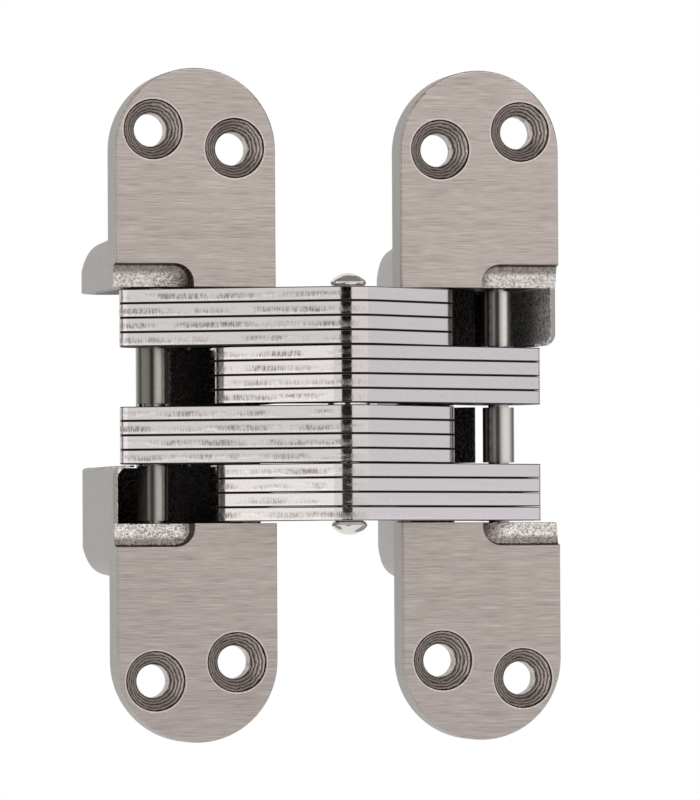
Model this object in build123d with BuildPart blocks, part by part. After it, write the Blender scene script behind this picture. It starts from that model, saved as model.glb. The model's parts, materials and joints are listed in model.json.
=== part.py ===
"""Concealed hinge for a thick door, shown fully open (180 degrees), in millimetres.

Two identical cast leaves stand side by side with their faces in the plane Y = 0. Behind each
face is a deep cup. Two groups of laminated link plates cross on one centre pin in front of the
faces. Each group turns on a fixed pin in one leaf and slides on a pin in the other leaf.
X runs from the left leaf to the right leaf, Y runs into the cups and Z is the pin direction.
The origin is half way between the leaves, in the plane of their faces.
"""
import os
from math import atan2, cos, degrees, hypot, radians, sin, tan

from build123d import *

# Leaf castings
leaf_length = 117.5
leaf_width = 28.6
leaf_gap = 22.4
plate_depth = 6.3
cup_depth = 42.0
cup_half_height = 30.2
cup_end_rise = 1.3
cup_middle_drop = 0.4
face_edge_radius = 0.3
as_cast_step = 2.4

# Cup walls and corners
end_gap = 0.3
back_wall = 3.2
outer_wall = 0.7
outer_wall_draft = 3.0
cup_outer_draft = 1.0
cup_inner_draft = 7.5
cup_plan_radius = 10.0
cup_end_radius = 16.0
cup_end_draft = 2.0
cup_end_rounding = 3.5
wall_end_radius = 2.2
web_thickness = 0.3
web_width = 4.2
web_corner = 2.4
finger_radius = 0.8

# Screw holes
screw_hole = 5.8
countersink = 10.6
countersink_angle = 82.0
outer_screw_offset = 7.4
outer_screw_height = 48.0
inner_screw_offset = 7.05
inner_screw_height = 44.8

# Recess in the face that lets the rivet head in when the hinge is closed
recess_width = 14.0
recess_height = 4.1
recess_corner = 3.4
recess_taper = 14.0
recess_far_depth = 1.5
recess_near_depth = 2.7

# Pivots, measured from the plane of the faces and from a leaf's inner edge
centre_pin_forward = 7.4
fixed_pin_inset = 3.2
fixed_pin_depth = 8.0
slide_pin_inset = 20.0
slide_pin_depth = 10.0
link_turn = 105.0

# Link plates
plate_thickness = 2.42
plate_gap = 0.10
stack_gap = 0.14
washer_gap = 0.40
plates_per_stack = 4
plate_chamfer = 0.12
long_flat_angle = 27.5
short_flat_angle = 37.5
ridge_radius = 6.5
slide_end_radius = 5.65
slide_end_angle = 103.0
slide_corner_radius = 2.0
pivot_end_radius = 3.05
shoulder_radius = 6.5
shoulder_from_pin = 7.17
shoulder_level = 0.6
heel_radius = 2.8
web_behind_pin = 5.2
waist_radius = 4.0
face_clearance = 0.3

# Pins, sleeves and washer
centre_pin_diameter = 4.2
head_diameter = 6.25
head_underside_radius = 0.9
head_height = 2.5
fixed_pin_diameter = 4.0
slide_pin_diameter = 3.6
slide_pin_reach = 2.3
fixed_pin_reach = 4.0
sleeve_diameter = 5.6
sleeve_end_gap = 0.22
washer_diameter = 7.4
washer_thickness = 0.3
running_fit = 0.05
seat_fit = 0.02
slot_clearance = 0.35
arm_clearance = 0.6
finger_clearance = 0.65
arm_gate = 7.8
arm_gate_depth = 17.5
wall_end_gap = 0.25
pin_chamfer = 0.3
row_clearance = 0.35

# Places that follow from the sizes above
inner_edge = leaf_gap / 2
outer_edge = inner_edge + leaf_width
leaf_middle = inner_edge + leaf_width / 2
stack_height = plates_per_stack * plate_thickness + (plates_per_stack - 1) * plate_gap
stack_starts = [washer_gap / 2 + stack_gap + stack_height, washer_gap / 2,
                -washer_gap / 2 - stack_height, -washer_gap / 2 - stack_gap - 2 * stack_height]
links_half_height = stack_starts[0] + stack_height
opening_half = links_half_height + end_gap
cavity_back = cup_depth - back_wall
beyond = 5.0

centre_pin = (0.0, -centre_pin_forward)
fixed_pin = (inner_edge + fixed_pin_inset, fixed_pin_depth)
slide_pin = (inner_edge + slide_pin_inset, slide_pin_depth)


def direction(angle):
    """Unit step in plan at an angle in degrees from the X axis."""
    return cos(radians(angle)), sin(radians(angle))


def step(start, angle, length):
    """Point at a distance from start in the given direction."""
    along = direction(angle)
    return start[0] + along[0] * length, start[1] + along[1] * length


def crossing(point_a, angle_a, point_b, angle_b):
    """Where a line through point_a meets a line through point_b."""
    ax, ay = direction(angle_a)
    bx, by = direction(angle_b)
    gap_x, gap_y = point_b[0] - point_a[0], point_b[1] - point_a[1]
    reach = (gap_x * by - gap_y * bx) / (ax * by - ay * bx)
    return point_a[0] + ax * reach, point_a[1] + ay * reach


def mirrored(point):
    """The same point on the other side of the middle plane."""
    return -point[0], point[1]


def span_and_angle(start, end):
    """Length and direction from one pin to another."""
    run, rise = end[0] - start[0], end[1] - start[1]
    return hypot(run, rise), degrees(atan2(rise, run))


def knuckle_place(share):
    """Centre of the rivet beside its leaf after a share of the closing turn."""
    arm, arm_angle = span_and_angle(fixed_pin, centre_pin)
    return step(fixed_pin, arm_angle + link_turn * share, arm)


def slide_place(share):
    """Centre of the slide pin in its leaf after a share of the closing turn."""
    reach, reach_angle = span_and_angle(centre_pin, slide_pin)
    return step(knuckle_place(share), reach_angle + (180 - link_turn) * share, reach)


# Lines that shape a link plate, for the plate whose long arm points to the right
ridge_touch = step(centre_pin, long_flat_angle - 90, ridge_radius)
short_touch = step(centre_pin, short_flat_angle - 90, ridge_radius)
end_touch = step(slide_pin, slide_end_angle - 90, slide_end_radius)
waist = (inner_edge, -face_clearance)
waist_span, waist_to_slide = span_and_angle(waist, slide_pin)
arm_back_angle = waist_to_slide + degrees(atan2(slide_end_radius, waist_span))
heel_line_angle = 180 - link_turn
heel_touch = step(fixed_pin, heel_line_angle, pivot_end_radius)
heel_angle = heel_line_angle - 90
shoulder_line = (fixed_pin[0] + shoulder_from_pin, 0.0)
pivot_side = (fixed_pin[0] - pivot_end_radius, 0.0)

link_outline = [
    (crossing(ridge_touch, long_flat_angle, mirrored(short_touch), 180 - short_flat_angle), ridge_radius),
    (crossing(ridge_touch, long_flat_angle, end_touch, slide_end_angle), slide_corner_radius),
    (crossing(end_touch, slide_end_angle, waist, arm_back_angle), slide_end_radius),
    (waist, waist_radius),
    ((centre_pin[0], centre_pin[1] + web_behind_pin), waist_radius),
    (mirrored((pivot_side[0], -face_clearance)), heel_radius),
    (mirrored(crossing(pivot_side, 90, heel_touch, heel_angle)), pivot_end_radius),
    (mirrored(crossing(shoulder_line, 90, heel_touch, heel_angle)), heel_radius),
    (mirrored(crossing(shoulder_line, 90, short_touch, short_flat_angle)), shoulder_radius),
]

# Link plate, long arm to the right, bottom face at height 0
with BuildPart() as plate:
    with BuildSketch() as plate_profile:
        with BuildLine():
            FilletPolyline(*[corner for corner, radius in link_outline],
                           radius=[radius for corner, radius in link_outline], close=True)
        make_face()
    extrude(amount=plate_thickness)
    rims = plate.faces().filter_by(Axis.Z).edges()
    chamfer(rims, plate_chamfer)
    with BuildSketch() as plate_holes:
        with Locations(centre_pin):
            Circle(centre_pin_diameter / 2 + running_fit)
        with Locations(mirrored(fixed_pin)):
            Circle(fixed_pin_diameter / 2 + running_fit)
        with Locations(slide_pin):
            Circle(slide_pin_diameter / 2 + seat_fit)
    extrude(amount=plate_thickness, mode=Mode.SUBTRACT)

# Outer body of a cup behind the plate: its side outline, cut to its plan, with soft ends. The ends
# lie a little higher at the outer edge of the leaf than at the inner edge.
plan_inner_back = crossing((inner_edge, plate_depth), 90 - cup_inner_draft, (0, cup_depth), 0)
plan_outer_back = crossing((outer_edge, plate_depth), 90 + cup_outer_draft, (0, cup_depth), 0)
plan_corners = [(inner_edge, plate_depth), (outer_edge, plate_depth), plan_outer_back, plan_inner_back]
side_corner = crossing((plate_depth, cup_half_height), -cup_end_draft, (cup_depth, 0), 90)
inner_side = Plane(origin=(inner_edge, 0, -cup_middle_drop - cup_end_rise / 2),
                   x_dir=(0, 1, 0), z_dir=(1, 0, 0))
with BuildPart() as cup:
    with BuildSketch(inner_side) as cup_side:
        with BuildLine():
            FilletPolyline((plate_depth, -cup_half_height), (plate_depth, cup_half_height), side_corner,
                           (side_corner[0], -side_corner[1]),
                           radius=[0, 0, cup_end_radius, cup_end_radius], close=True)
        make_face()
    extrude(amount=hypot(leaf_width, cup_end_rise), dir=(leaf_width, 0, cup_end_rise))
    with BuildSketch(Plane.XY.offset(-leaf_length / 2)) as cup_plan:
        with BuildLine():
            Polyline(*plan_corners, close=True)
        make_face()
    extrude(amount=leaf_length, mode=Mode.INTERSECT)
    along_and_up = [edge for edge in cup.edges()
                    if min(edge.bounding_box().size.Y, edge.bounding_box().size.Z) > face_edge_radius]
    fillet(along_and_up, cup_end_rounding)
    with BuildSketch(Plane.XY.offset(-leaf_length / 2)) as cup_back_corners:
        with BuildLine():
            FilletPolyline(*plan_corners, radius=[0, 0, cup_plan_radius, cup_plan_radius], close=True)
        make_face()
    extrude(amount=leaf_length, mode=Mode.INTERSECT)

# Pocket outlines in plan, for the right leaf
finger_edge = slide_pin[0] - sleeve_diameter / 2 - finger_clearance
closed_slide = slide_place(1)
closed_knuckle = knuckle_place(1)
slide_path = ThreePointArc(slide_pin, slide_place(0.5), closed_slide)
swing_radius = hypot(fixed_pin[1] - shoulder_level, shoulder_from_pin) + arm_clearance
flat_normal = short_flat_angle - 90 + link_turn
flat_touch = step(fixed_pin, flat_normal, swing_radius)
finger_tip = crossing(flat_touch, flat_normal - 90, (finger_edge, 0), 90)
short_pocket = [
    (inner_edge - beyond, -beyond), (inner_edge - beyond, fixed_pin[1]), fixed_pin, flat_touch,
    finger_tip, (finger_edge, -beyond),
]
sleeve_reach = sleeve_diameter / 2 + arm_clearance
wall_rim = (outer_edge - outer_wall, 0.0)
sleeve_pocket = [
    (finger_edge, -beyond), (finger_edge, closed_slide[1] - 5 * sleeve_reach),
    (closed_slide[0] - sleeve_reach, closed_slide[1]), (closed_slide[0] - sleeve_reach, cavity_back),
    crossing(wall_rim, 90 + outer_wall_draft, (0, cavity_back), 0),
    crossing(wall_rim, 90 + outer_wall_draft, (0, -beyond), 0),
]
arm_line = step(waist, arm_back_angle + 90, arm_clearance)
arm_left = closed_slide[0] - slide_end_radius - arm_clearance
arm_gate_x = slide_pin[0] - arm_gate
long_pocket = [
    crossing(arm_line, arm_back_angle, (inner_edge - beyond, 0), 90),
    crossing(arm_line, arm_back_angle, (arm_gate_x, 0), 90),
    (arm_gate_x, arm_gate_depth), (arm_left, closed_slide[1] - slide_end_radius / 3),
    (arm_left, cavity_back), (finger_edge, cavity_back), (finger_edge, -beyond),
    (inner_edge - beyond, -beyond),
]
long_rows = [(stack_starts[k] - row_clearance, stack_starts[k] + stack_height + row_clearance)
             for k in (1, 3)]
short_rows = [(stack_starts[k] - row_clearance, stack_starts[k] + stack_height + row_clearance)
              for k in (0, 2)]
long_rows[1] = (-opening_half, long_rows[1][1])
short_rows[0] = (short_rows[0][0], opening_half)
wall_end = stack_starts[1] + stack_height + wall_end_gap

# Front outlines, for the right leaf: its open side, the top sleeve room and the recesses
open_side_outline = [
    (finger_edge, -opening_half), (outer_edge + beyond, -opening_half),
    (outer_edge + beyond, wall_end + 2 * wall_end_radius),
    (outer_edge, wall_end + 2 * wall_end_radius), (outer_edge, wall_end), (finger_edge, wall_end),
]
web_top = wall_end + web_thickness
sleeve_room_outline = [
    (inner_edge, opening_half), (inner_edge, short_rows[0][0]),
    (outer_edge - web_width, short_rows[0][0]), (outer_edge - web_width, web_top),
    (wall_rim[0], web_top), (wall_rim[0], opening_half),
]
recess_left = outer_edge - recess_width
recess_top = opening_half + recess_height
recess_outline = [
    (recess_left, -recess_top), (outer_edge + beyond, -recess_top),
    (outer_edge + beyond, recess_top), (recess_left, recess_top),
]
recess_floor = [
    (-beyond, -recess_top), (recess_far_depth, -recess_top), (recess_near_depth, -opening_half),
    (recess_near_depth, opening_half), (recess_far_depth, recess_top), (-beyond, recess_top),
]

# The face looks towards -Y: sketches on this plane are cut into the leaf
into_leaf = Plane(origin=(0, 0, 0), x_dir=(1, 0, 0), z_dir=(0, 1, 0))
screw_spots = [(leaf_middle + offset, side * height) for side in (1, -1)
               for offset, height in ((outer_screw_offset, outer_screw_height),
                                      (-inner_screw_offset, inner_screw_height))]
countersink_depth = (countersink - screw_hole) / 2 / tan(radians(countersink_angle / 2))

# Room for the rivet heads: one outline, with floors that fall towards the rows of links
with BuildPart() as head_recess:
    with BuildSketch(into_leaf) as recess_plan:
        with BuildLine():
            FilletPolyline(*recess_outline, radius=[recess_corner, 0, 0, recess_corner], close=True)
        make_face()
    extrude(amount=recess_near_depth, taper=recess_taper)
    with BuildSketch(Plane.YZ) as recess_slope:
        with BuildLine():
            Polyline(*recess_floor, close=True)
        make_face()
    extrude(amount=outer_edge + beyond, mode=Mode.INTERSECT)

# Room for the sleeve of the top row, under which the cup's outer wall turns in
with BuildPart() as top_sleeve_room:
    with BuildSketch(Plane.XY.offset(short_rows[0][0])) as sleeve_plan:
        with BuildLine():
            FilletPolyline(*sleeve_pocket, radius=[0, 0, 0, 0, cup_plan_radius - outer_wall, 0],
                           close=True)
        make_face()
    extrude(amount=short_rows[0][1] - short_rows[0][0])
    with BuildSketch(Plane.XZ.offset(beyond)) as sleeve_front:
        with BuildLine():
            FilletPolyline(*sleeve_room_outline, radius=[0, 0, 0, 0, web_corner, 0], close=True)
        make_face()
    extrude(amount=-cup_depth - beyond, mode=Mode.INTERSECT)

with BuildPart() as leaf_right:
    # Round-ended face plate with softened rim, and the cup behind it
    with BuildSketch(into_leaf) as face_outline:
        with Locations((leaf_middle, 0)):
            SlotOverall(leaf_length, leaf_width, rotation=90)
    extrude(amount=plate_depth)
    fillet(leaf_right.faces().sort_by(Axis.Y)[0].edges(), face_edge_radius)
    add(cup.part)
    # As-cast level between the two machined faces, and the recesses for the rivet heads
    with BuildSketch(into_leaf) as cast_level:
        with Locations((leaf_middle, 0)):
            Rectangle(leaf_width + beyond, 2 * opening_half)
    extrude(amount=as_cast_step, mode=Mode.SUBTRACT)
    add(head_recess.part, mode=Mode.SUBTRACT)
    # Rows for the long arms
    for low, high in long_rows:
        with BuildSketch(Plane.XY.offset(low)) as long_row:
            with BuildLine():
                Polyline(*long_pocket, close=True)
            make_face()
        extrude(amount=high - low, mode=Mode.SUBTRACT)
    # Rows for the short arms, with room for the rivet's knuckle when closed
    for low, high in short_rows:
        with BuildSketch(Plane.XY.offset(low)) as short_row:
            with BuildLine():
                Polyline(*short_pocket, close=True)
            make_face()
            with Locations(fixed_pin):
                Circle(swing_radius)
            with Locations(closed_knuckle):
                Circle(ridge_radius + arm_clearance)
        extrude(amount=high - low, mode=Mode.SUBTRACT)
    # Room for the sleeves: the lower one lies open to the side
    add(top_sleeve_room.part, mode=Mode.SUBTRACT)
    with BuildSketch(Plane.XY.offset(short_rows[1][0])) as lower_sleeve_plan:
        with BuildLine():
            Polyline(*sleeve_pocket, close=True)
        make_face()
    extrude(amount=short_rows[1][1] - short_rows[1][0], mode=Mode.SUBTRACT)
    # Open side and back beside the lower three rows
    with BuildSketch(Plane.XZ.offset(beyond)) as open_side:
        with BuildLine():
            FilletPolyline(*open_side_outline, radius=[0, 0, 0, 0, wall_end_radius, 0], close=True)
        make_face()
    extrude(amount=-cup_depth - 2 * beyond, mode=Mode.SUBTRACT)
    finger_tips = [edge for edge in leaf_right.edges().filter_by(Axis.Z)
                   if hypot(edge.center().X - finger_tip[0], edge.center().Y - finger_tip[1]) < pin_chamfer]
    fillet(finger_tips, finger_radius)
    # Grooves for the slide pin, bore for the fixed pin
    for side in (1, -1):
        with BuildSketch(Plane.XY.offset(side * opening_half)) as slide_groove:
            SlotArc(slide_path, height=slide_pin_diameter + 2 * slot_clearance)
        extrude(amount=side * (slide_pin_reach + end_gap), mode=Mode.SUBTRACT)
    with BuildSketch() as fixed_bore:
        with Locations(fixed_pin):
            Circle(fixed_pin_diameter / 2 + seat_fit)
    extrude(amount=opening_half + fixed_pin_reach, both=True, mode=Mode.SUBTRACT)
    # Countersunk screw holes
    with BuildSketch(into_leaf) as screw_sinks:
        with Locations(*screw_spots):
            Circle(countersink / 2)
    extrude(amount=countersink_depth, taper=countersink_angle / 2, mode=Mode.SUBTRACT)
    with BuildSketch(into_leaf) as screw_holes:
        with Locations(*screw_spots):
            Circle(screw_hole / 2)
    extrude(amount=cup_depth, mode=Mode.SUBTRACT)

# The left leaf is the same casting turned half round about the depth axis
with BuildPart() as leaf_left:
    add(leaf_right.part, rotation=(0, 180, 0))

# Rivet through all the link plates, with a button head at each end
head_radius = head_diameter / 2
button_top = links_half_height + head_height
dome_height = head_height - head_underside_radius
dome_radius = (head_radius ** 2 + dome_height ** 2) / (2 * dome_height)
dome_start = degrees(atan2(dome_radius - dome_height, head_radius))
with BuildPart() as rivet:
    with BuildSketch(Plane.XZ) as rivet_half:
        with BuildLine():
            Polyline((0, button_top), (0, 0), (centre_pin_diameter / 2, 0),
                     (centre_pin_diameter / 2, links_half_height),
                     (head_radius - head_underside_radius, links_half_height))
            CenterArc((head_radius - head_underside_radius, links_half_height + head_underside_radius),
                      head_underside_radius, -90, 90)
            CenterArc((0, button_top - dome_radius), dome_radius, dome_start, 90 - dome_start)
        make_face()
    revolve(axis=Axis.Z)
    mirror(about=Plane.XY)

with BuildPart() as washer:
    with BuildSketch(Plane.XY.offset(-washer_thickness / 2)) as washer_ring:
        Circle(washer_diameter / 2)
        Circle(centre_pin_diameter / 2 + running_fit, mode=Mode.SUBTRACT)
    extrude(amount=washer_thickness)

with BuildPart() as fixed_pin_rod:
    Cylinder(fixed_pin_diameter / 2, 2 * (opening_half + fixed_pin_reach))
    chamfer(fixed_pin_rod.edges(), pin_chamfer)

with BuildPart() as slide_pin_rod:
    Cylinder(slide_pin_diameter / 2, 2 * (opening_half + slide_pin_reach))
    chamfer(slide_pin_rod.edges(), pin_chamfer)

sleeve_length = stack_height + stack_gap - 2 * sleeve_end_gap
with BuildPart() as sleeve:
    with BuildSketch() as sleeve_ring:
        Circle(sleeve_diameter / 2)
        Circle(slide_pin_diameter / 2 + seat_fit, mode=Mode.SUBTRACT)
    extrude(amount=sleeve_length)


def write(solid, name, place):
    """Put a finished piece in its place and write it under its name."""
    placed = place * solid
    placed.label = name
    export_step(placed, f"parts/{name}.step")


os.makedirs("parts", exist_ok=True)
write(leaf_right.part, "leaf_right", Location())
write(leaf_left.part, "leaf_left", Location())
write(rivet.part, "centre_rivet", Location((*centre_pin, 0)))
write(washer.part, "centre_washer", Location((*centre_pin, 0)))
for side, name in ((1, "right"), (-1, "left")):
    write(fixed_pin_rod.part, f"fixed_pin_{name}", Location((side * fixed_pin[0], fixed_pin[1], 0)))
    write(slide_pin_rod.part, f"slide_pin_{name}", Location((side * slide_pin[0], slide_pin[1], 0)))

# Rows 1 and 3 from the top slide in the left leaf, rows 2 and 4 in the right leaf.
# A turn of half a circle about the depth axis swaps a plate's two arms.
for row, start in enumerate(stack_starts, 1):
    slides_left = row % 2 == 1
    for place in range(plates_per_stack):
        height = start + place * (plate_thickness + plate_gap)
        group = "a" if slides_left else "b"
        if slides_left:
            spot = Location((0, 0, height + plate_thickness), (0, 180, 0))
        else:
            spot = Location((0, 0, height))
        write(plate.part, f"link_{group}_row{row}_plate{place + 1}", spot)
    sleeve_side = 1 if slides_left else -1
    sleeve_name = "right" if slides_left else "left"
    sleeve_spot = Location((sleeve_side * slide_pin[0], slide_pin[1], start + sleeve_end_gap))
    write(sleeve.part, f"sleeve_{sleeve_name}_row{row}", sleeve_spot)
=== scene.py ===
"""Studio picture of a concealed door hinge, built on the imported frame, in metres.

The castings, link plates and pins come from the frame as they are. This script gives them their
finishes and sets the camera, the lamps, the floor and the backdrop.

The materials work in mm from the middle of the hinge: across is to the right, depth runs back from
the plane of the leaf faces, and up is along the pins.
"""

import json
from math import cos, pi, radians, sin, tau

import bpy
from mathutils import Matrix, Vector


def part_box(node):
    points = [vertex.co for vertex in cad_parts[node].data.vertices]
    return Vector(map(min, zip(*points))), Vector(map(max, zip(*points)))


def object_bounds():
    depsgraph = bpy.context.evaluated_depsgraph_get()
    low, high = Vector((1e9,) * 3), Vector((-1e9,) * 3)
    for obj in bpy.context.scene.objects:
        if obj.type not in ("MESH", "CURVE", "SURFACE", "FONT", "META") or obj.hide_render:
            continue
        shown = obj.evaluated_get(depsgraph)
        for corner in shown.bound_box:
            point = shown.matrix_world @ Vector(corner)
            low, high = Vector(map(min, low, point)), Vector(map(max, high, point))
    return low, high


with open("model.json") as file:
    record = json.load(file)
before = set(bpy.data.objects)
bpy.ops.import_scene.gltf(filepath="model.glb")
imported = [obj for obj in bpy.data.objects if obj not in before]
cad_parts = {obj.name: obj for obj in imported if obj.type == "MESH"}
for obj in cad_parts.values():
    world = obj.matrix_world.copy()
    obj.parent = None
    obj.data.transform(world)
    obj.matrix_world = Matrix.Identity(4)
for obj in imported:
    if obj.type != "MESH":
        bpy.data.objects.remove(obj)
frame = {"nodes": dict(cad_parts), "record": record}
cad_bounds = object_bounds()
scene = bpy.context.scene
MM = 0.001


# Colours

def linear(code):
    """Linear colour, with alpha 1, from an sRGB hex value."""
    channels = [int(code[i:i + 2], 16) / 255 for i in (1, 3, 5)]
    return [c / 12.92 if c <= 0.04045 else ((c + 0.055) / 1.055) ** 2.4 for c in channels] + [1.0]


# Nodes

# Places of the Mix node's sockets: the first and second of a kind, and the outcome
VALUE_1, VALUE_2, MIXED_VALUE = 2, 3, 0
COLOUR_1, COLOUR_2, MIXED_COLOUR = 6, 7, 2


def add(tree, kind, inputs=None, **settings):
    """Adds one node, sets its properties, and fills or links its inputs by name or by place."""
    made = tree.nodes.new(kind)
    for name, value in settings.items():
        setattr(made, name, value)
    for name, value in (inputs or {}).items():
        if isinstance(value, bpy.types.NodeSocket):
            tree.links.new(value, made.inputs[name])
        else:
            made.inputs[name].default_value = value
    return made


def blank_material(name):
    """New material with nothing in its node tree."""
    material = bpy.data.materials.new(name)
    material.use_nodes = True
    material.node_tree.nodes.clear()
    return material, material.node_tree


def place_in_mm(tree):
    """Point on the object, in mm from the middle of the hinge."""
    place = add(tree, "ShaderNodeTexCoord").outputs["Object"]
    return add(tree, "ShaderNodeVectorMath", {0: place, 1: (1 / MM,) * 3},
               operation="MULTIPLY").outputs[0]


def drawn_out(tree, in_mm, per_mm, detail, roughness=0.5):
    """Irregular marks, drawn out by how many come to a mm along each axis."""
    stretched = add(tree, "ShaderNodeVectorMath", {0: in_mm, 1: per_mm}, operation="MULTIPLY").outputs[0]
    return add(tree, "ShaderNodeTexNoise", {"Vector": stretched, "Scale": 1.0, "Detail": detail,
                                            "Roughness": roughness}).outputs[0]


def where(tree, *tests):
    """Mask, 1 where all the tests hold. A test is a value, how it compares, and a limit."""
    mask, *others = (add(tree, "ShaderNodeMath", {0: value, 1: limit}, operation=compares).outputs[0]
                     for value, compares, limit in tests)
    for other in others:
        mask = add(tree, "ShaderNodeMath", {0: mask, 1: other}, operation="MULTIPLY").outputs[0]
    return mask


def distance_from(tree, value, middle):
    """How far a value lies from the middle, either way."""
    off = add(tree, "ShaderNodeMath", {0: value, 1: middle}, operation="SUBTRACT").outputs[0]
    return add(tree, "ShaderNodeMath", {0: off}, operation="ABSOLUTE").outputs[0]


def metal(tree, colour, metallic, roughness, normal):
    """Metal surface: reflects in its own colour where it is bare, and less where it is dirty."""
    surface = add(tree, "ShaderNodeBsdfPrincipled",
                  {"Base Color": colour, "Metallic": metallic, "Roughness": roughness, "Normal": normal})
    add(tree, "ShaderNodeOutputMaterial", {"Surface": surface.outputs[0]})


# Finishes of the castings, each with its colour and its relief

def ground_face(tree, in_mm):
    """Plate faces, ground across the leaf after casting. Such scratches are typically 0.03 mm wide
    and are drawn at 0.12 mm so that they show, under faint bands 0.9 mm wide."""
    scratches = drawn_out(tree, in_mm, (0.2, 1.0, 8.5), 3.0, 0.6)
    bands = drawn_out(tree, in_mm, (0.03, 0.3, 1.1), 2.0)
    band_strength = 0.24
    both = add(tree, "ShaderNodeMath", {0: bands, 1: band_strength, 2: scratches},
               operation="MULTIPLY_ADD").outputs[0]
    share = add(tree, "ShaderNodeMapRange", {"Value": both, "From Min": 0.42,
                                             "From Max": 0.82}).outputs[0]
    colour = add(tree, "ShaderNodeMix", {"Factor": share, COLOUR_1: linear("#948B86"),
                                         COLOUR_2: linear("#C3B9B4")},
                 data_type="RGBA").outputs[MIXED_COLOUR]
    return colour, scratches


def die_skin(tree, in_mm):
    """Duller skin that the die leaves, with low waves and a grain of about 0.5 mm."""
    grain = add(tree, "ShaderNodeTexNoise", {"Vector": in_mm, "Scale": 1.9, "Detail": 4.0}).outputs[0]
    colour = add(tree, "ShaderNodeMix", {"Factor": grain, COLOUR_1: linear("#88847F"),
                                         COLOUR_2: linear("#AEAAA5")},
                 data_type="RGBA").outputs[MIXED_COLOUR]
    return colour, grain


def recess_floor(tree, in_mm, folded, open_end):
    """Recesses for the rivet heads: a bright pebbled floor inside a slope painted dark as shade. The
    end that lies open to the side runs out in a longer ramp of painted shade. Such pebbles are
    typically 0.1 mm and are drawn at 0.5 mm so that they show."""
    across, depth, up = add(tree, "ShaderNodeSeparateXYZ", {0: folded}).outputs
    pebbles = add(tree, "ShaderNodeTexNoise", {"Vector": in_mm, "Scale": 2.0, "Detail": 3.0}).outputs[0]
    pebble_share = add(tree, "ShaderNodeMapRange", {"Value": pebbles, "From Min": 0.36,
                                                    "From Max": 0.6}).outputs[0]
    bright = add(tree, "ShaderNodeMix", {"Factor": pebble_share, COLOUR_1: linear("#A59F9A"),
                                         COLOUR_2: linear("#E2DDD9")},
                 data_type="RGBA").outputs[MIXED_COLOUR]

    # The floor comes up from 2.7 to 1.5 mm below the face, and what lies above it is the slope
    floor_depth = add(tree, "ShaderNodeMapRange", {"Value": up, "From Min": 20.6, "From Max": 24.7,
                                                   "To Min": 2.7, "To Max": 1.5}).outputs[0]
    over_floor = add(tree, "ShaderNodeMath", {0: floor_depth, 1: depth}, operation="SUBTRACT").outputs[0]
    # Painted shade: the slope, the ramp at the open end and bands at the far and near edges are painted
    # dark
    on_slope = where(tree, (over_floor, "GREATER_THAN", 0.12))
    ramp = add(tree, "ShaderNodeMapRange", {"Value": across, "From Min": 26.4, "From Max": 31.0,
                                            "To Min": 1.0, "To Max": 0.0}).outputs[0]
    recess_shade = add(tree, "ShaderNodeMath", {0: ramp, 1: open_end}, operation="MULTIPLY").outputs[0]
    far_edge = add(tree, "ShaderNodeMapRange", {"Value": up, "From Min": 22.7, "From Max": 23.4,
                                                "To Min": 0.0, "To Max": 0.7}).outputs[0]
    near_edge = add(tree, "ShaderNodeMapRange", {"Value": across, "From Min": 27.0, "From Max": 28.0,
                                                 "To Min": 0.6, "To Max": 0.0}).outputs[0]
    for share in (on_slope, far_edge, near_edge):
        recess_shade = add(tree, "ShaderNodeMath", {0: recess_shade, 1: share}, operation="MAXIMUM").outputs[0]
    colour = add(tree, "ShaderNodeMix", {"Factor": recess_shade, COLOUR_1: bright, COLOUR_2: linear("#5F534E")},
                 data_type="RGBA").outputs[MIXED_COLOUR]
    return colour, pebbles


def reach_from_hole(tree, folded):
    """Distance from the axis of the nearest screw hole, in mm."""
    mounts = {mount["name"]: mount for mount in frame["record"]["mounts"]}
    flat = add(tree, "ShaderNodeVectorMath", {0: folded, 1: (1.0, 0.0, 1.0)},
               operation="MULTIPLY").outputs[0]
    outer, inner = (add(tree, "ShaderNodeVectorMath",
                        {0: flat, 1: (mount["pos_m"][0] / MM, 0.0, mount["dims"]["spacing_y_mm"] / 2)},
                        operation="DISTANCE").outputs["Value"]
                    for mount in (mounts["right_outer_screws"], mounts["right_inner_screws"]))
    return add(tree, "ShaderNodeMath", {0: outer, 1: inner}, operation="MINIMUM").outputs[0]


def drilled_sink(tree, in_mm, reach, chatter):
    """Countersinks: rings of the drill, typically 0.2 mm apart and drawn at 0.5 mm so that they
    show, dark where the plating is thin, with a thin dark line at the outer edge."""
    ring_step, wander_width, dark_line_radius, even_tone = 0.5, 0.6, 5.05, 0.35
    wander = add(tree, "ShaderNodeTexNoise", {"Vector": in_mm, "Scale": 0.8, "Detail": 2.0}).outputs[0]
    wound = add(tree, "ShaderNodeMath", {0: wander, 1: wander_width, 2: reach},
                operation="MULTIPLY_ADD").outputs[0]
    phase = add(tree, "ShaderNodeMath", {0: wound, 1: tau / ring_step}, operation="MULTIPLY").outputs[0]
    rings = add(tree, "ShaderNodeMath", {0: phase}, operation="SINE").outputs[0]
    ring_share = add(tree, "ShaderNodeMapRange", {"Value": rings, "From Min": -0.7,
                                                  "From Max": 0.7}).outputs[0]
    tone = add(tree, "ShaderNodeMix", {"Factor": chatter, VALUE_1: ring_share, VALUE_2: even_tone},
               data_type="FLOAT").outputs[MIXED_VALUE]
    colour = add(tree, "ShaderNodeMix", {"Factor": tone, COLOUR_1: linear("#231916"),
                                         COLOUR_2: linear("#EADED8")},
                 data_type="RGBA").outputs[MIXED_COLOUR]
    dark_line = where(tree, (reach, "GREATER_THAN", dark_line_radius))
    colour = add(tree, "ShaderNodeMix", {"Factor": dark_line, COLOUR_1: colour, COLOUR_2: linear("#261E1B")},
                 data_type="RGBA").outputs[MIXED_COLOUR]
    return colour, tone


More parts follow.
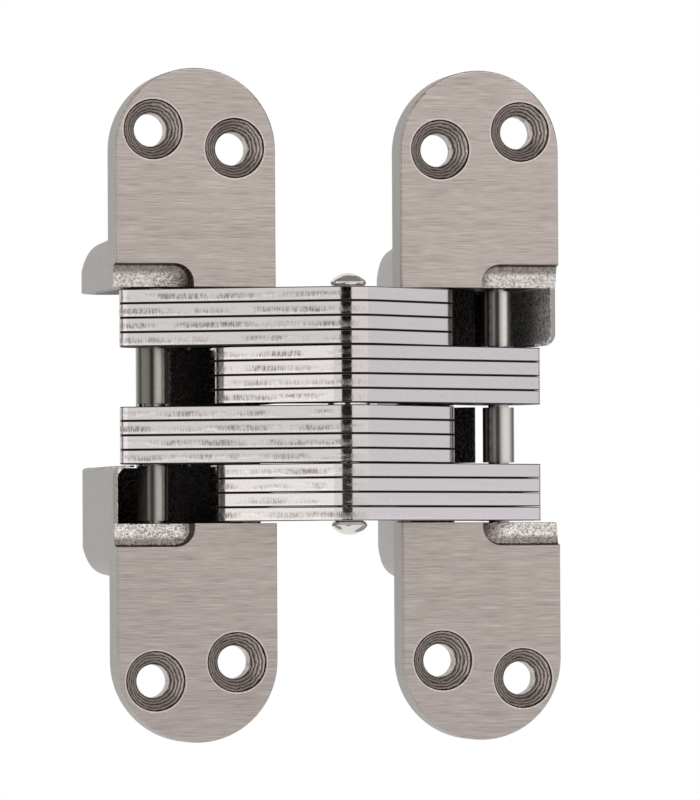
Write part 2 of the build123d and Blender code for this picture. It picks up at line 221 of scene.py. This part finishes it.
def cup_inside(tree, in_mm, on_outer_wall):
    """Inside of the cup, rough as cast: painted shade makes it nearly black, and the outer wall is
    painted light, near white with specks of about 0.5 mm."""
    specks = add(tree, "ShaderNodeTexNoise", {"Vector": in_mm, "Scale": 1.9, "Detail": 2.0}).outputs[0]
    share = add(tree, "ShaderNodeMapRange", {"Value": specks, "From Min": 0.42,
                                             "From Max": 0.58}).outputs[0]
    # Lit and shaded copies of the one cast finish: painted light on the outer wall, painted shade
    # elsewhere inside
    wall, painted_shade_inside = (add(tree, "ShaderNodeMix", {"Factor": share, COLOUR_1: linear(dark),
                                              COLOUR_2: linear(light)},
                      data_type="RGBA").outputs[MIXED_COLOUR]
                  for dark, light in (("#A89D94", "#FFFFFF"), ("#15100E", "#3A322D")))
    colour = add(tree, "ShaderNodeMix", {"Factor": on_outer_wall, COLOUR_1: painted_shade_inside, COLOUR_2: wall},
                 data_type="RGBA").outputs[MIXED_COLOUR]
    return colour, specks


def in_cup(tree, across, depth, up):
    """Mask of the cup's inside. Seen along the pins, its outline has a slanted inner wall, a straight
    outer wall and two rounded back corners."""
    half_height, mouth_depth, back_thickness = 20.65, 2.45, 2.8
    corner_radius, inside_radius, wall_slope = 10.0, 9.7, 0.1317
    outer_wall_thickness, inner_wall_set_in = 0.44, 3.47
    low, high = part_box("leaf_right")
    corner_depth = high.y / MM - corner_radius
    outer_corner = high.x / MM - outer_wall_thickness - corner_radius
    inner_corner = low.x / MM + inner_wall_set_in + corner_radius

    straight = add(tree, "ShaderNodeMath", {0: depth, 1: corner_depth}, operation="MINIMUM").outputs[0]
    slant = add(tree, "ShaderNodeMath", {0: straight, 1: wall_slope,
                                         2: inner_corner - corner_depth * wall_slope},
                operation="MULTIPLY_ADD").outputs[0]
    past_inner = add(tree, "ShaderNodeMath", {0: slant, 1: across}, operation="SUBTRACT").outputs[0]
    past_outer = add(tree, "ShaderNodeMath", {0: across, 1: outer_corner},
                     operation="SUBTRACT").outputs[0]
    past_back = add(tree, "ShaderNodeMath", {0: depth, 1: corner_depth},
                    operation="SUBTRACT").outputs[0]
    past_side = add(tree, "ShaderNodeMath", {0: past_inner, 1: past_outer},
                    operation="MAXIMUM").outputs[0]
    past_corner = add(tree, "ShaderNodeCombineXYZ", {0: past_side, 1: past_back}).outputs[0]
    past_corner = add(tree, "ShaderNodeVectorMath", {0: past_corner}, operation="MAXIMUM").outputs[0]
    from_corner = add(tree, "ShaderNodeVectorMath", {0: past_corner},
                      operation="LENGTH").outputs["Value"]
    return where(tree, (up, "LESS_THAN", half_height), (depth, "GREATER_THAN", mouth_depth),
                 (depth, "LESS_THAN", high.y / MM - back_thickness),
                 (from_corner, "LESS_THAN", inside_radius))


def satin_nickel_casting():
    """Die-cast zinc, satin nickel plated. The plate faces are ground across the leaf after casting,
    which leaves fine level scratches; the rest keeps the duller skin of the die, and the screw holes
    show the rings of the drill."""
    material, tree = blank_material("satin_nickel_casting")
    in_mm = place_in_mm(tree)
    signed_across, depth, signed_up = add(tree, "ShaderNodeSeparateXYZ", {0: in_mm}).outputs
    # Both leaves and both ends are alike, so most places are worked out folded into one quarter
    folded = add(tree, "ShaderNodeVectorMath", {0: in_mm}, operation="ABSOLUTE").outputs[0]
    across, _, up = add(tree, "ShaderNodeSeparateXYZ", {0: folded}).outputs

    # The ground face ends at its softened edge
    on_face = add(tree, "ShaderNodeMapRange", {"Value": depth, "From Min": 0.06, "From Max": 0.28,
                                               "To Min": 1.0, "To Max": 0.0}).outputs[0]
    recess_bottom, recess_top, recess_start, recess_depth = 20.55, 24.75, 25.75, 2.75
    leaf_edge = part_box("leaf_right")[1].x / MM
    on_recess = where(tree, (up, "GREATER_THAN", recess_bottom), (up, "LESS_THAN", recess_top),
                      (across, "GREATER_THAN", recess_start), (across, "LESS_THAN", leaf_edge - 0.05),
                      (depth, "GREATER_THAN", 0.04), (depth, "LESS_THAN", recess_depth))
    side = add(tree, "ShaderNodeMath", {0: signed_across, 1: signed_up}, operation="MULTIPLY").outputs[0]
    open_end = where(tree, (side, "LESS_THAN", 0.0))
    outer_wall_start = 36.4
    on_outer_wall = where(tree, (across, "GREATER_THAN", outer_wall_start))
    inside = in_cup(tree, across, depth, up)

    sink_radius, glint_radius, plate_back = 5.32, 5.52, 6.1
    reach = reach_from_hole(tree, folded)
    below_face = add(tree, "ShaderNodeMapRange", {"Value": depth, "From Min": 0.02,
                                                  "From Max": 0.06}).outputs[0]
    in_sink = where(tree, (reach, "LESS_THAN", sink_radius), (depth, "LESS_THAN", plate_back))
    in_sink = add(tree, "ShaderNodeMath", {0: in_sink, 1: below_face}, operation="MULTIPLY").outputs[0]
    # Painted highlight: a bright ring on the face just round each countersink
    near_sink = where(tree, (reach, "LESS_THAN", glint_radius))
    painted_glint = add(tree, "ShaderNodeMath", {0: near_sink, 1: on_face}, operation="MULTIPLY").outputs[0]
    # Chatter of the drill breaks up its rings and the painted highlight round them
    chatter = add(tree, "ShaderNodeTexNoise", {"Vector": in_mm, "Scale": 1.7, "Detail": 2.0}).outputs[0]
    painted_glint_colour = add(tree, "ShaderNodeMix", {"Factor": chatter, COLOUR_1: linear("#A69C97"),
                                              COLOUR_2: linear("#E4DBD6")},
                      data_type="RGBA").outputs[MIXED_COLOUR]

    # Each finish covers the ones before it
    face_colour, scratches = ground_face(tree, in_mm)
    colour, relief = die_skin(tree, in_mm)
    for mask, (over_colour, over_relief) in (
            (on_face, (face_colour, scratches)),
            (painted_glint, (painted_glint_colour, scratches)),
            (on_recess, recess_floor(tree, in_mm, folded, open_end)),
            (inside, cup_inside(tree, in_mm, on_outer_wall)),
            (in_sink, drilled_sink(tree, in_mm, reach, chatter))):
        colour = add(tree, "ShaderNodeMix", {"Factor": mask, COLOUR_1: colour, COLOUR_2: over_colour},
                     data_type="RGBA").outputs[MIXED_COLOUR]
        relief = add(tree, "ShaderNodeMix", {"Factor": mask, VALUE_1: relief, VALUE_2: over_relief},
                     data_type="FLOAT").outputs[MIXED_VALUE]

    # Height of the relief in mm
    height = add(tree, "ShaderNodeMapRange", {"Value": on_face, "To Min": 0.06,
                                              "To Max": 0.010}).outputs[0]
    for mask, over_height in ((on_recess, 0.36), (inside, 1.1)):
        height = add(tree, "ShaderNodeMix", {"Factor": mask, VALUE_1: height, VALUE_2: over_height},
                     data_type="FLOAT").outputs[MIXED_VALUE]
    lift = add(tree, "ShaderNodeMath", {0: relief, 1: height}, operation="MULTIPLY").outputs[0]
    softened = add(tree, "ShaderNodeBevel", {"Radius": 0.2 * MM}, samples=4).outputs[0]
    normal = add(tree, "ShaderNodeBump", {"Height": lift, "Distance": MM, "Strength": 1.0,
                                          "Normal": softened}).outputs[0]

    roughness = add(tree, "ShaderNodeMapRange", {"Value": on_face, "To Min": 0.42,
                                                 "To Max": 0.30}).outputs[0]
    roughness = add(tree, "ShaderNodeMix", {"Factor": on_recess, VALUE_1: roughness, VALUE_2: 0.26},
                    data_type="FLOAT").outputs[MIXED_VALUE]
    metallic = add(tree, "ShaderNodeMapRange", {"Value": inside, "To Min": 1.0,
                                                "To Max": 0.08}).outputs[0]
    metal(tree, colour, metallic, roughness, normal)
    return material


def plated_stamping():
    """Stamped steel plate, nickel plated. Seen on its cut edge: a smooth sheared band and a torn,
    pitted band beside it, both with fine upright marks left by the punch. Oil and painted shade
    darken the flats between two plates, and the slit along their rims is painted black as shade."""
    material, tree = blank_material("plated_stamping")
    in_mm = place_in_mm(tree)
    across, _, up = add(tree, "ShaderNodeSeparateXYZ", {0: in_mm}).outputs
    in_plate = add(tree, "ShaderNodeTexCoord").outputs["Generated"]
    through = add(tree, "ShaderNodeSeparateXYZ", {0: in_plate}).outputs[2]

    # Punch marks stand upright, about 0.3 mm apart, and come in patches
    marks = drawn_out(tree, in_mm, (4.2, 4.2, 0.9), 3.0, 0.6)
    patches = add(tree, "ShaderNodeMapRange", {"Value": drawn_out(tree, in_mm, (0.14, 0.14, 0.45), 2.0),
                                               "From Min": 0.38, "From Max": 0.62}).outputs[0]

    # The torn band lies in the middle of the thickness and is strongest on the left arms
    band_middle, plate_middle = 0.42, 0.5
    off_band = distance_from(tree, through, band_middle)
    band = add(tree, "ShaderNodeMapRange", {"Value": off_band, "From Min": 0.12, "From Max": 0.30,
                                            "To Min": 1.0, "To Max": 0.0}).outputs[0]
    left_arms = add(tree, "ShaderNodeMapRange", {"Value": across, "From Min": -3.0, "From Max": 2.0,
                                                 "To Min": 1.0, "To Max": 0.1}).outputs[0]
    torn = band
    for share in (left_arms, patches):
        torn = add(tree, "ShaderNodeMath", {0: torn, 1: share}, operation="MULTIPLY").outputs[0]
    pits = add(tree, "ShaderNodeMapRange", {"Value": marks, "From Min": 0.42, "From Max": 0.58,
                                            "To Min": 1.0, "To Max": 0.0}).outputs[0]
    dark = add(tree, "ShaderNodeMath", {0: pits, 1: torn}, operation="MULTIPLY").outputs[0]
    colour = add(tree, "ShaderNodeMix", {"Factor": dark, COLOUR_1: linear("#C6C2C1"),
                                         COLOUR_2: linear("#827B77")},
                 data_type="RGBA").outputs[MIXED_COLOUR]

    # Oil and painted shade lie at both faces of a plate, but not on the outermost flats at top and bottom
    outer_face = max(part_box(f"link_a_row1_plate{n}")[1].z for n in (1, 2, 3, 4)) / MM - 0.05
    height = add(tree, "ShaderNodeMath", {0: up}, operation="ABSOLUTE").outputs[0]
    covered = where(tree, (height, "LESS_THAN", outer_face))
    off_middle = distance_from(tree, through, plate_middle)
    at_plate_face = add(tree, "ShaderNodeMapRange", {"Value": off_middle, "From Min": 0.428,
                                                     "From Max": 0.442}).outputs[0]
    oil_and_shade = add(tree, "ShaderNodeMath", {0: at_plate_face, 1: covered}, operation="MULTIPLY").outputs[0]
    facing = add(tree, "ShaderNodeNewGeometry").outputs["Normal"]
    facing_up = add(tree, "ShaderNodeSeparateXYZ", {0: facing}).outputs[2]
    upright = add(tree, "ShaderNodeMath", {0: facing_up}, operation="ABSOLUTE").outputs[0]
    on_flat = where(tree, (upright, "GREATER_THAN", 0.9))
    # Painted shade: black in the slit along the rims, dark on the flats between plates
    oil_and_shade_colour = add(tree, "ShaderNodeMix", {"Factor": on_flat, COLOUR_1: linear("#0E0B0A"),
                                             COLOUR_2: linear("#55504C")},
                     data_type="RGBA").outputs[MIXED_COLOUR]
    colour = add(tree, "ShaderNodeMix", {"Factor": oil_and_shade, COLOUR_1: colour, COLOUR_2: oil_and_shade_colour},
                 data_type="RGBA").outputs[MIXED_COLOUR]

    # Height of the marks in mm
    height = add(tree, "ShaderNodeMapRange", {"Value": torn, "To Min": 0.003,
                                              "To Max": 0.03}).outputs[0]
    lift = add(tree, "ShaderNodeMath", {0: marks, 1: height}, operation="MULTIPLY").outputs[0]
    normal = add(tree, "ShaderNodeBump", {"Height": lift, "Distance": MM, "Strength": 1.0}).outputs[0]
    roughness = add(tree, "ShaderNodeMapRange", {"Value": torn, "To Min": 0.10,
                                                 "To Max": 0.28}).outputs[0]
    roughness = add(tree, "ShaderNodeMix", {"Factor": oil_and_shade, VALUE_1: roughness, VALUE_2: 0.6},
                    data_type="FLOAT").outputs[MIXED_VALUE]
    # On the flats the oil and painted shade are thin, and the metal shows through
    rim_oil_and_shade = add(tree, "ShaderNodeMath", {0: oil_and_shade, 1: on_flat}, operation="SUBTRACT").outputs[0]
    metallic = add(tree, "ShaderNodeMapRange", {"Value": rim_oil_and_shade, "To Min": 1.0,
                                                "To Max": 0.0}).outputs[0]
    metal(tree, colour, metallic, roughness, normal)
    return material


def polished_steel():
    """Ground and polished steel of the pins, sleeves and rivet: sharp highlights, with faint marks
    of the centreless grinder round the pin. Those marks are drawn at 0.25 mm so that they show."""
    material, tree = blank_material("polished_steel")
    in_mm = place_in_mm(tree)
    marks = drawn_out(tree, in_mm, (0.3, 0.3, 4.0), 2.0)
    bright, darker_steel = (add(tree, "ShaderNodeMix", {"Factor": marks, COLOUR_1: linear(dark),
                                                 COLOUR_2: linear(light)},
                         data_type="RGBA").outputs[MIXED_COLOUR]
                     for dark, light in (("#D4D1CC", "#E2DFDB"), ("#7E7C74", "#918F87")))

    # Sleeves and pins are darker, the more so in the left leaf
    rivet_reach = 6.0
    across = add(tree, "ShaderNodeSeparateXYZ", {0: in_mm}).outputs[0]
    from_rivet = add(tree, "ShaderNodeMath", {0: across}, operation="ABSOLUTE").outputs[0]
    off_rivet = where(tree, (from_rivet, "GREATER_THAN", rivet_reach))
    darkening = add(tree, "ShaderNodeMapRange", {"Value": across, "From Min": -5.0, "From Max": 5.0,
                                            "To Min": 0.7, "To Max": 0.25}).outputs[0]
    darkening = add(tree, "ShaderNodeMath", {0: off_rivet, 1: darkening}, operation="MULTIPLY").outputs[0]
    colour = add(tree, "ShaderNodeMix", {"Factor": darkening, COLOUR_1: bright, COLOUR_2: darker_steel},
                 data_type="RGBA").outputs[MIXED_COLOUR]

    # Painted shade, dark down both flanks of each sleeve
    low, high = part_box("sleeve_right_row1")
    sleeve_centre = (low.x + high.x) / 2 / MM
    flank_shade_strength = 0.75
    leaf_sign = add(tree, "ShaderNodeMath", {0: across}, operation="SIGN").outputs[0]
    past_centre = add(tree, "ShaderNodeMath", {0: leaf_sign, 1: -sleeve_centre, 2: across},
                      operation="MULTIPLY_ADD").outputs[0]
    left_flank = add(tree, "ShaderNodeMapRange", {"Value": past_centre, "From Min": -0.6,
                                                  "From Max": 0.3, "To Min": 1.0,
                                                  "To Max": 0.0}).outputs[0]
    right_flank = add(tree, "ShaderNodeMapRange", {"Value": past_centre, "From Min": 1.2,
                                                   "From Max": 1.9}).outputs[0]
    painted_flank_shade = add(tree, "ShaderNodeMath", {0: left_flank, 1: right_flank}, operation="MAXIMUM").outputs[0]
    for share in (off_rivet, flank_shade_strength):
        painted_flank_shade = add(tree, "ShaderNodeMath", {0: painted_flank_shade, 1: share}, operation="MULTIPLY").outputs[0]
    colour = add(tree, "ShaderNodeMix", {"Factor": painted_flank_shade, COLOUR_1: colour, COLOUR_2: linear("#393631")},
                 data_type="RGBA").outputs[MIXED_COLOUR]

    mark_height = 0.003
    lift = add(tree, "ShaderNodeMath", {0: marks, 1: mark_height}, operation="MULTIPLY").outputs[0]
    normal = add(tree, "ShaderNodeBump", {"Height": lift, "Distance": MM}).outputs[0]
    roughness = add(tree, "ShaderNodeMapRange", {"Value": off_rivet, "To Min": 0.12,
                                                 "To Max": 0.22}).outputs[0]
    metal(tree, colour, 1.0, roughness, normal)
    return material


def studio_white(name):
    """Matt white paper: plain white to the eye and to the metal, and lit like paper otherwise."""
    material, tree = blank_material(name)
    path = add(tree, "ShaderNodeLightPath")
    seen = path.outputs["Is Camera Ray"]
    for kind in ("Is Glossy Ray", "Is Transmission Ray"):
        seen = add(tree, "ShaderNodeMath", {0: seen, 1: path.outputs[kind]},
                   operation="MAXIMUM").outputs[0]
    paper = add(tree, "ShaderNodeBsdfDiffuse", {"Color": linear("#F2F1EF")})
    glow = add(tree, "ShaderNodeEmission", {"Color": (1.0, 1.0, 1.0, 1.0), "Strength": 1.0})
    both = add(tree, "ShaderNodeMixShader", {0: seen, 1: paper.outputs[0], 2: glow.outputs[0]})
    add(tree, "ShaderNodeOutputMaterial", {"Surface": both.outputs[0]})
    return material


def dark_opening(name):
    """Dull black of the unlit room behind the camera, as the metal sees it."""
    material, tree = blank_material(name)
    cloth = add(tree, "ShaderNodeBsdfDiffuse", {"Color": linear("#0A0909")})
    add(tree, "ShaderNodeOutputMaterial", {"Surface": cloth.outputs[0]})
    return material


# Finish of each piece, by the slot that the frame gives it
finishes = {
    "satin_nickel_casting": satin_nickel_casting(),
    "plated_link_steel": plated_stamping(),
    "polished_steel": polished_steel(),
}
for part in frame["record"]["subparts"]:
    piece = frame["nodes"][part["node"]]
    piece.data.materials.clear()
    piece.data.materials.append(finishes[part["material_slot"]])


# Floor and backdrop

def studio_sheet(name, size, finish):
    """Flat square, lying at the middle of the hinge, that isn't part of it."""
    bpy.ops.mesh.primitive_plane_add(size=size, location=(0, 0, 0))
    made = bpy.context.object
    made.name = name
    made.data.materials.append(finish(name))
    return made


paper_size = 8.0
floor = studio_sheet("floor", paper_size, studio_white)
# Just clear of the lowest point of the hinge
floor.location.z = cad_bounds[0].z - 0.1 * MM
backdrop = studio_sheet("backdrop", paper_size, studio_white)
# Far enough back to stay behind the camera in the views from behind
backdrop.location.y = 2.6
backdrop.rotation_euler.x = radians(90)


# Lamps: the white walls of a light tent, open in front where the camera looks in

def face_hinge(thing, azimuth, elevation, distance):
    """Stands a lamp or sheet round the hinge, facing it. Azimuth 0 is straight in front, and plus
    is to the right."""
    turn, lift = radians(azimuth), radians(elevation)
    thing.location = Vector((sin(turn) * cos(lift), -cos(turn) * cos(lift), sin(lift))) * distance
    thing.rotation_euler = thing.location.to_track_quat("Z", "Y").to_euler()


def soft_box(name, azimuth, elevation, distance, width, height, brightness, tint):
    """Area lamp that looks at the hinge. Brightness is what a mirror would show of it."""
    lamp = bpy.data.lights.new(name, "AREA")
    lamp.shape = "RECTANGLE"
    lamp.size, lamp.size_y = width, height
    lamp.energy = brightness * width * height * pi
    lamp.color = linear(tint)[:3]
    holder = bpy.data.objects.new(name, lamp)
    scene.collection.objects.link(holder)
    face_hinge(holder, azimuth, elevation, distance)
    holder.visible_camera = False


soft_box("left_front", azimuth=-45, elevation=0, distance=1.2, width=0.47, height=1.3,
         brightness=0.80, tint="#FFFEFC")
soft_box("left_side", azimuth=-78, elevation=0, distance=1.0, width=0.81, height=1.4,
         brightness=1.06, tint="#FFFDFC")
soft_box("right_front", azimuth=23.5, elevation=14, distance=1.3, width=1.30, height=0.7,
         brightness=0.85, tint="#FFFCFA")
soft_box("right_side", azimuth=78, elevation=0, distance=1.1, width=1.2, height=1.4,
         brightness=0.75, tint="#F8F4FF")
soft_box("top_box", azimuth=8, elevation=42, distance=1.2, width=1.6, height=0.6,
         brightness=1.8, tint="#FFFFFF")

# The dark opening of the tent, which only the metal sees
opening = studio_sheet("tent_opening", 1.0, dark_opening)
opening.scale = (0.94, 1.6, 1.0)
face_hinge(opening, azimuth=-18.5, elevation=0, distance=1.7)
opening.visible_camera = False
opening.visible_diffuse = False
opening.visible_shadow = False

world = bpy.data.worlds.new("studio")
world.use_nodes = True
world.node_tree.nodes.clear()
room = add(world.node_tree, "ShaderNodeBackground", {"Color": linear("#F4F2F0"), "Strength": 0.32})
add(world.node_tree, "ShaderNodeOutputWorld", {"Surface": room.outputs[0]})
scene.world = world


# Camera at the photograph's angle, with the middle of the hinge at origin_pixel

image_width = 700
image_height = 800
view_azimuth = -12.97
view_elevation = -1.237
view_roll = -0.302
view_distance = 1.3
focal_pixels = 7438.8
origin_pixel = (339.17, 404.9)
sensor_width = 36.0

turn, lift, roll = radians(view_azimuth), radians(view_elevation), radians(view_roll)
ahead = Vector((-sin(turn) * cos(lift), cos(turn) * cos(lift), -sin(lift)))
side = ahead.cross(Vector((0, 0, 1))).normalized()
above = side.cross(ahead)
side, above = side * cos(roll) + above * sin(roll), above * cos(roll) - side * sin(roll)
lens = bpy.data.cameras.new("camera")
lens.sensor_fit = "HORIZONTAL"
lens.sensor_width = sensor_width
lens.lens = focal_pixels / image_width * sensor_width
lens.shift_x = (image_width / 2 - origin_pixel[0]) / image_width
lens.shift_y = (origin_pixel[1] - image_height / 2) / image_width
lens.clip_start = 0.05
lens.clip_end = 50.0
camera = bpy.data.objects.new("camera", lens)
scene.collection.objects.link(camera)
stance = Matrix((side, above, -ahead)).transposed().to_4x4()
camera.matrix_world = Matrix.Translation(-ahead * view_distance) @ stance
scene.camera = camera
scene.view_settings.view_transform = "Standard"
